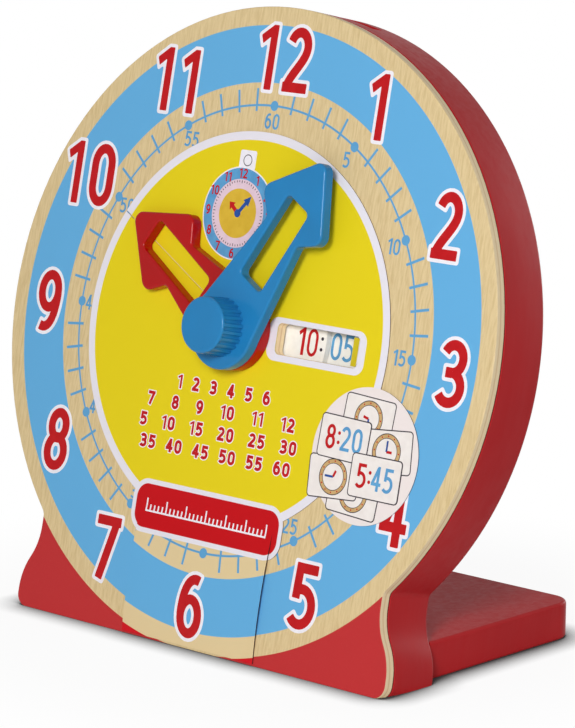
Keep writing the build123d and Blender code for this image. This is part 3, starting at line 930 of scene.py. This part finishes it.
def makeScrews(s):
    bpy.ops.mesh.primitive_cylinder_add(vertices=s["sides"], radius=s["head"], depth=s["headDepth"],
                                        location=(0, 0, s["back"] + s["headDepth"] / 2))
    screw = bpy.context.object
    bpy.ops.object.transform_apply(location=True)
    for face in screw.data.polygons:
        face.select = face.normal.z > 0.9
    ratio, tip = s["shank"] / s["head"], 2 * s["shank"]
    draws = [(bpy.ops.mesh.extrude_region_move, {"TRANSFORM_OT_translate": {"value": (0, 0, far)}})
             for far in (s["length"] - s["headDepth"] - tip, tip)]
    editMesh(screw, (bpy.ops.mesh.select_mode, {"type": "FACE"}),
             (bpy.ops.transform.resize, {"value": (ratio, ratio, 1)}), *draws,
             (bpy.ops.transform.resize, {"value": (s["point"], s["point"], 1)}), whole=False)
    for turn in (0, pi / 2):
        bar = boxLoop((0, 0), (s["recess"], s["recessWidth"] / 2), s["recessCorner"], turn)
        cutOut(screw, bar, s["back"] - s["overrun"], s["back"] + s["recessDepth"], "zincSteel")
    paint(screw, "zincSteel")
    pick(screw)
    bpy.ops.object.shade_smooth_by_angle(angle=radians(30))
    copies = []
    for k in range(s["count"]):
        turn = 2 * pi * k / s["count"]
        spot = Matrix.Translation((s["circle"] * sin(turn), s["circle"] * cos(turn), 0))
        copies.append(placeCopy(screw.data, spot @ Matrix.Rotation(s["spin"] * k, 4, "Z")))
    bpy.data.objects.remove(screw)
    piece = settle("recessed_screws", copies, "case")
    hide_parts("cover_screws")


makeScrews(screwSet)
print("cover screws made")

# The mark that the mould's gate left on the knob's front
gateSet = {"place": (2.4, -9.6), "radius": 0.6, "sides": 24, "low": 25.95, "high": 26.12}
gate = flatShape([discLoop(gateSet["place"], gateSet["radius"], gateSet["sides"])],
                 gateSet["low"], gateSet["high"], "bluePlastic")
settle("knob_gate_mark", [gate], "minute")
print("gate mark made")

# Hour numerals on the blue ring
numeralStyle = {
    "name": "numeral", "high": 29.8, "wide": 15.4, "pen": 4.6, "gap": 6.6, "soft": 0.5,
    "back": (-0.02, 0.05, 1.6, "inkWhite"), "front": (-0.02, 0.1, 0.0, "inkRed"),
    "places": {"12": (1.8, 124.5), "1": (60.8, 107.9), "2": (111.3, 60.3), "3": (126.5, -2.8),
               "4": (106.6, -67.0), "5": (62.2, -112.3), "6": (0, -127.5), "7": (-62.7, -111.7),
               "8": (-105.3, -66.8), "9": (-124.7, -2.8), "10": (-110.3, 60.3),
               "11": (-63.8, 109.2)},
}
for word, place in numeralStyle["places"].items():
    settle("numeral_" + word, writeWord(word, numeralStyle, place), "case")
print("numerals drawn")


# The card's band bows out from the face, and what is printed on it follows the bow
def bandHeight(up):
    # Height of the band's front above the face: an arc of a circle
    s = bandSet
    half = (s["high"] - s["low"]) / 2
    radius = (half ** 2 + s["bow"] ** 2) / (2 * s["bow"])
    off = up - (s["high"] + s["low"]) / 2
    return s["front"] + s["bow"] - radius + (radius ** 2 - off ** 2) ** 0.5


def bendOntoBand(shapes, low, high):
    # Cuts the shapes into strips, then lifts what lies on the band by its bow
    s = bandSet
    levels = [min(low + (high - low) * k / s["strips"], s["high"]) for k in range(s["strips"] + 1)]
    cuts = [(bpy.ops.mesh.bisect, {"plane_co": (0, level, 0), "plane_no": (0, 1, 0)})
            for level in levels]
    for shape in shapes:
        editMesh(shape, (bpy.ops.mesh.quads_convert_to_tris, {}), *cuts)
        for vertex in shape.data.vertices:
            vertex.co.z += bandHeight(min(vertex.co.y, s["high"]))
    return shapes


bandNumeral = writeWord("6", numeralStyle, bandSet["centre"])
middle, half = bandSet["centre"][1], bandSet["halfNumeral"]
settle("band_numeral", bendOntoBand(bandNumeral, middle - half, middle + half))
print("band numeral drawn")

# Print on the flat of the card is sunk a little into it, and a later print lies a little higher
cardFront, inkSink = cardSet["front"], 0.02


def inkPlate(loops, level, ink):
    return flatShape(loops, cardFront - inkSink, cardFront + level, ink)


def writeRow(words, gap, middle, level=0.0):
    # Words with their styles side by side, centred on a point of the card
    widths = [wordWidth(*word) for word in words]
    along = middle[0] - (sum(widths) + gap * (len(words) - 1)) / 2
    drawn = []
    for (word, style), width in zip(words, widths):
        drawn += writeWord(word, style, (along + width / 2, middle[1]))
        along += width + gap
    for letter in drawn:
        letter.data.transform(Matrix.Translation((0, 0, cardFront + level)))
    return drawn


rowStyle = {
    "name": "row", "high": 6.4, "wide": 4.3, "pen": 1.45, "gap": 1.2,
    "back": (-0.02, 0.03, 0.45, "inkWhite"), "front": (-0.02, 0.05, 0.0, "inkRed"),
    "rows": (("1 2 3 4 5 6", -28.5, 58), ("7 8 9 10 11 12", -38.5, 92),
             ("5 10 15 20 25 30", -48.5, 98), ("35 40 45 50 55 60", -58.5, 94)),
    "middle": -4.0,
}


def drawRows(s):
    for row, up, long in s["rows"]:
        words = [(word, s) for word in row.split()]
        gap = (long - sum(wordWidth(*word) for word in words)) / (len(words) - 1)
        yield from writeRow(words, gap, (s["middle"], up))


settle("card_rows", drawRows(rowStyle))
print("card rows printed")

# Small picture of a dial at the top of the card
roundelSet = {
    "centre": (-12.0, 52.0), "radius": 21.5, "ring": 15.8, "yolk": 11.4, "margin": 0.6,
    "layer": 0.02, "numeralInset": 0.4, "minutes": 60, "marks": (0.9, 1.3), "markWidth": 0.36,
    "tab": {"centre": (-10.6, 76.6), "half": (5.0, 4.6), "corner": 1.0, "circle": (2.7, 2.3)},
    "hands": ((-50, 7.6, 2.0, "inkRed"), (40, 11.0, 1.8, "inkNavy")), "hub": 1.9,
    # Round an arrow: shares of its reach and of its width
    "arrow": ((0, 0.5), (0.6, 0.5), (0.6, 1.2), (1, 0), (0.6, -1.2), (0.6, -0.5), (0, -0.5)),
}
roundelStyle = {
    "name": "roundelNumeral", "high": 4.5, "wide": 2.7, "pen": 0.8, "gap": 0.75,
    "front": (-0.02, 0.08, 0.0, "inkRed"),
}


def drawRoundel(s):
    centre, step, tab = Vector(s["centre"]), s["layer"], s["tab"]
    yield inkPlate([boxLoop(tab["centre"], tab["half"], tab["corner"])], step, "inkWhite")
    yield inkPlate([discLoop(tab["centre"], radius, 32) for radius in tab["circle"]], 2 * step,
                   "inkDark")
    discs = ((s["radius"], "inkWhite"), (s["radius"] - s["margin"], "inkBlue"),
             (s["ring"], "inkPink"), (s["yolk"], "inkAmber"))
    for level, (radius, ink) in enumerate(discs, 2):
        yield inkPlate([discLoop(centre, radius)], level * step, ink)
    reach = (s["ring"] + s["radius"] - s["numeralInset"]) / 2
    for hour in range(1, 13):
        place = centre + clockwise(30 * hour) * reach
        yield from writeRow([(str(hour), roundelStyle)], 0, place)
    for minute in range(s["minutes"]):
        way = clockwise(360 * minute / s["minutes"])
        outer = s["ring"] - s["margin"]
        inner = outer - s["marks"][minute % 5 == 0]
        mark = barLoop(centre + way * outer, centre + way * inner, s["markWidth"])
        yield inkPlate([mark], 5 * step, "inkDark")
    for level, (turn, reach, wide, ink) in enumerate(s["hands"], 6):
        way = clockwise(turn)
        side = Vector((way.y, -way.x))
        hand = [tuple(centre + way * reach * far + side * wide * off) for far, off in s["arrow"]]
        yield inkPlate([hand], level * step, ink)
    yield inkPlate([discLoop(centre, s["hub"], 24)], 8 * step, "inkNavy")


settle("card_roundel", drawRoundel(roundelSet))
print("roundel printed")

# Time cards pictured on the card's round lug: place, turn, then the time as a dial or in figures
timeCardSet = {
    "half": (14.6, 9.8), "corner": 2.0, "line": 0.5, "layer": 0.012, "layers": 5, "gap": 1.1,
    "dial": 8.2, "dialRings": ((0, 2.4, "inkDark"), (0.4, 2.8, "inkWood"), (2.0, 3.2, "inkDark"),
                               (2.3, 3.6, "inkCream")),
    "dotInset": 1.2, "dot": 0.38, "hands": ((3.1, 1.2, "inkRed"), (4.9, 1.0, "inkNavy")),
    "cards": (((84.0, -28.8), 0.05, (9, 30)), ((97.0, -41.5), -0.09, (3, 0)),
              ((82.0, -62.8), 0.06, (6, 15)), ((69.0, -57.0), -0.07, (12, 45)),
              ((72.0, -39.5), 0.03, "8:20"), ((93.0, -54.0), 0.0, "5:45")),
}
hourStyle = {"name": "timeHour", "high": 11.0, "wide": 5.6, "pen": 1.5, "gap": 1.2,
             "front": (0.0, 0.012, 0.0, "inkRed")}
minuteStyle = dict(hourStyle, name="timeMinute", front=(0.0, 0.012, 0.0, "inkBlue"))


def drawTimeCards(s):
    step = s["layer"]
    for index, (centre, turn, shown) in enumerate(s["cards"]):
        base = index * s["layers"] * step
        for inset, level, ink in ((0, 1, "inkDark"), (s["line"], 2, "inkCream")):
            half = [side - inset for side in s["half"]]
            loop = boxLoop(centre, half, s["corner"] - inset, turn)
            yield inkPlate([loop], base + level * step, ink)
        if isinstance(shown, str):
            hour, minute = shown.split(":")
            words = [(hour + ":", hourStyle), (minute, minuteStyle)]
            yield from writeRow(words, s["gap"], centre, base + 2 * step)
            continue
        for inset, level, ink in s["dialRings"]:
            loop = discLoop(centre, s["dial"] - inset, 48)
            yield inkPlate([loop], base + level * step, ink)
        for hour in range(12):
            spot = Vector(centre) + clockwise(30 * hour) * (s["dial"] - s["dotInset"])
            yield inkPlate([discLoop(spot, s["dot"], 10)], base + 4 * step, "inkRed")
        angles = shown[0] * 30 + shown[1] / 2, shown[1] * 6
        for angle, (reach, width, ink) in zip(angles, s["hands"]):
            end = Vector(centre) + clockwise(angle) * reach
            yield inkPlate([barLoop(centre, end, width)], base + 4.4 * step, ink)


settle("time_cards", drawTimeCards(timeCardSet))
print("time cards printed")

# A plain rule across the red plaque, whose lower half lies on the band
plaqueSet = {"middle": (-2.8, -90.2), "marks": 30, "step": 2.5, "line": 0.8, "short": 3.0,
             "long": 5.8, "sink": -0.02, "lineTop": 0.02, "markTop": 0.035}


def makePlaque(s):
    middle, up = s["middle"]
    reach = s["marks"] * s["step"] / 2
    left, right = middle - reach, middle + reach
    line = barLoop((left - s["line"] / 2, up), (right + s["line"] / 2, up), s["line"])
    shapes = [flatShape([line], s["sink"], s["lineTop"], "inkWhite")]
    for k in range(s["marks"] + 1):
        x = left + k * s["step"]
        top = up + (s["short"] if k % 5 else s["long"])
        mark = barLoop((x, up), (x, top), s["line"])
        shapes.append(flatShape([mark], s["sink"], s["markTop"], "inkWhite"))
    settle("plaque_marks", bendOntoBand(shapes, up - 2 * s["line"], up + s["long"]))


makePlaque(plaqueSet)
print("plaque printed")

# Minute figures inside the track
figureStyle = {
    "name": "minute", "high": 7.2, "wide": 3.9, "pen": 1.05, "gap": 0.9,
    "front": (-0.02, 0.05, 0.0, "inkBlue"), "radius": 95.6,
}
figures = []
for minute in range(5, 61, 5):
    angle, radius = radians(minute * 6), figureStyle["radius"]
    figures += writeWord(str(minute), figureStyle, (radius * sin(angle), radius * cos(angle)))
settle("minute_figures", figures, "case")
print("minute figures drawn")

# Number labels on the two discs: one of each shows in the window
labelStyles = {
    "hour": {"name": "hourLabel", "high": 12.6, "wide": 6.2, "pen": 1.45, "gap": 1.7,
             "colon": "inkDark", "front": (-6.32, -6.25, 0.0, "inkRed"),
             "middle": 37.6, "handTurn": -60.0,
             "words": [(f"{hour}:", hour * 30) for hour in range(1, 13)]},
    "minute": {"name": "minuteLabel", "high": 12.2, "wide": 6.1, "pen": 1.45, "gap": 1.2,
               "front": (-10.02, -9.95, 0.0, "inkBlue"),
               "middle": 53.9, "handTurn": 30.0,
               "words": [(f"{minute:02d}", minute * 6) for minute in range(0, 60, 5)]},
}
windowUp = -0.4


def makeLabels(body, s):
    drawn = []
    for word, angle in s["words"]:
        lean = radians(s["handTurn"] - angle)
        spot = Matrix.Rotation(-lean, 2) @ Vector((s["middle"], windowUp))
        drawn += writeWord(word, s, spot, lean)
    settle(body + "_labels", drawn, body)


for body, style in labelStyles.items():
    makeLabels(body, style)
print("disc labels drawn")

print("finished")
